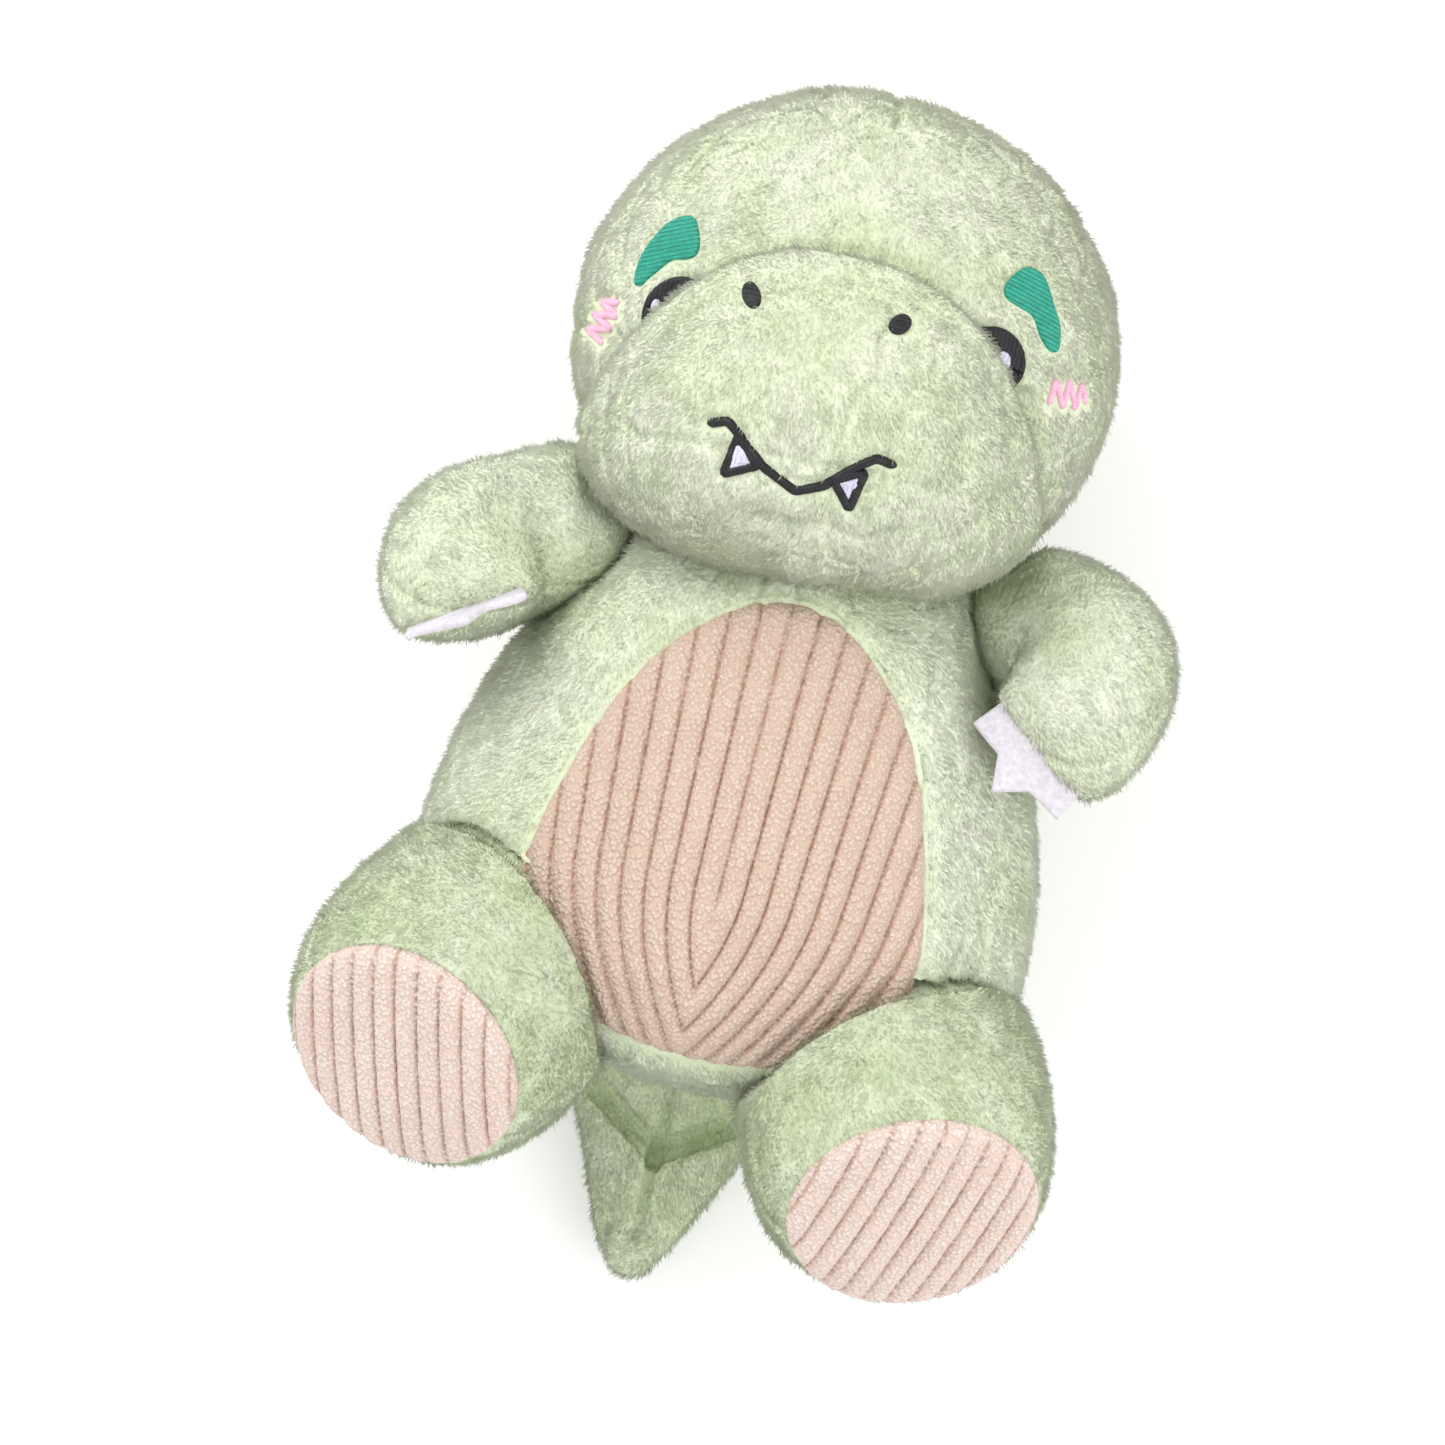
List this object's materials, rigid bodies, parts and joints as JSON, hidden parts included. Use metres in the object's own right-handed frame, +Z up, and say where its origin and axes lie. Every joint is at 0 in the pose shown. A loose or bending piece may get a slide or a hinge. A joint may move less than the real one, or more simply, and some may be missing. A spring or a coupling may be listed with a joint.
{
  "type": "stuffed dinosaur",
  "caption": "Soft padded dinosaur toy with a big head, ribbed belly and soles, felt claws and a wedge tail, lying on its back.",
  "frame": {"origin": "middle of the flattened back that the toy rests on", "axes": "+Y towards the head, +Z up through the belly as it lies on its back, +X towards its own left-hand side"},
  "size_m": [0.1657, 0.2609, 0.1265],
  "materials": {
    "plush": "short-pile green plush with an embossed scale pattern",
    "corduroy": "wide-rib beige corduroy",
    "stuffing": "white polyester filling",
    "thread_black": "black satin-stitch embroidery",
    "thread_white": "white satin-stitch embroidery",
    "thread_teal": "teal satin-stitch embroidery",
    "thread_pink": "pink embroidery",
    "felt": "pale felt"
  },
  "bodies": {
    "torso": {"torso_stuffing": "stuffing", "belly_panel": "corduroy", "side_panel_left": "plush", "side_panel_right": "plush", "back_panel": "plush"},
    "head": {"head_stuffing": "stuffing", "face_panel": "plush", "head_back_left": "plush", "head_back_right": "plush", "muzzle_panel": "plush", "chin_panel": "plush", "eye_left": "thread_black", "eye_right": "thread_black", "eye_light_left": "thread_white", "eye_light_right": "thread_white", "brow_left": "thread_teal", "brow_right": "thread_teal", "blush_left": "thread_pink", "blush_right": "thread_pink", "nostril_left": "thread_black", "nostril_right": "thread_black", "mouth_line": "thread_black", "fangs": "thread_white"},
    "arm_left": {"arm_stuffing_left": "stuffing", "arm_front_left": "plush", "arm_back_left": "plush", "claws_left": "felt"},
    "arm_right": {"arm_stuffing_right": "stuffing", "arm_front_right": "plush", "arm_back_right": "plush", "claws_right": "felt"},
    "leg_left": {"leg_stuffing_left": "stuffing", "leg_upper_left": "plush", "leg_under_left": "plush", "sole_left": "corduroy"},
    "leg_right": {"leg_stuffing_right": "stuffing", "leg_upper_right": "plush", "leg_under_right": "plush", "sole_right": "corduroy"},
    "tail": {"tail_stuffing": "stuffing", "tail_panel_left": "plush", "tail_panel_right": "plush"}
  },
  "joints": [
    {"name": "head_turn", "type": "hinge", "parent": "torso", "child": "head", "pos_m": [0, 0.022, 0.046], "axis": [0, 1, 0], "range_deg": [-3, 10], "stiffness_Nm_per_rad": 0.25},
    {"name": "arm_left_reach", "type": "hinge", "parent": "torso", "child": "arm_left", "pos_m": [-0.0535, 0.049, 0.058], "axis": [-1, 0, 0], "range_deg": [0, 18], "stiffness_Nm_per_rad": 0.12},
    {"name": "arm_right_reach", "type": "hinge", "parent": "torso", "child": "arm_right", "pos_m": [0.0505, 0.053, 0.058], "axis": [-1, 0, 0], "range_deg": [0, 18], "stiffness_Nm_per_rad": 0.12},
    {"name": "leg_left_swing", "type": "hinge", "parent": "torso", "child": "leg_left", "pos_m": [-0.043, -0.041, 0.062], "axis": [1, 0, 0], "range_deg": [-12, 18], "stiffness_Nm_per_rad": 0.2},
    {"name": "leg_right_swing", "type": "hinge", "parent": "torso", "child": "leg_right", "pos_m": [0.0415, -0.0455, 0.0624], "axis": [1, 0, 0], "range_deg": [-12, 18], "stiffness_Nm_per_rad": 0.2},
    {"name": "tail_swing", "type": "hinge", "parent": "torso", "child": "tail", "pos_m": [0, -0.048, 0.02], "axis": [1, 0, 0], "range_deg": [0, 50], "stiffness_Nm_per_rad": 0.12}
  ]
}
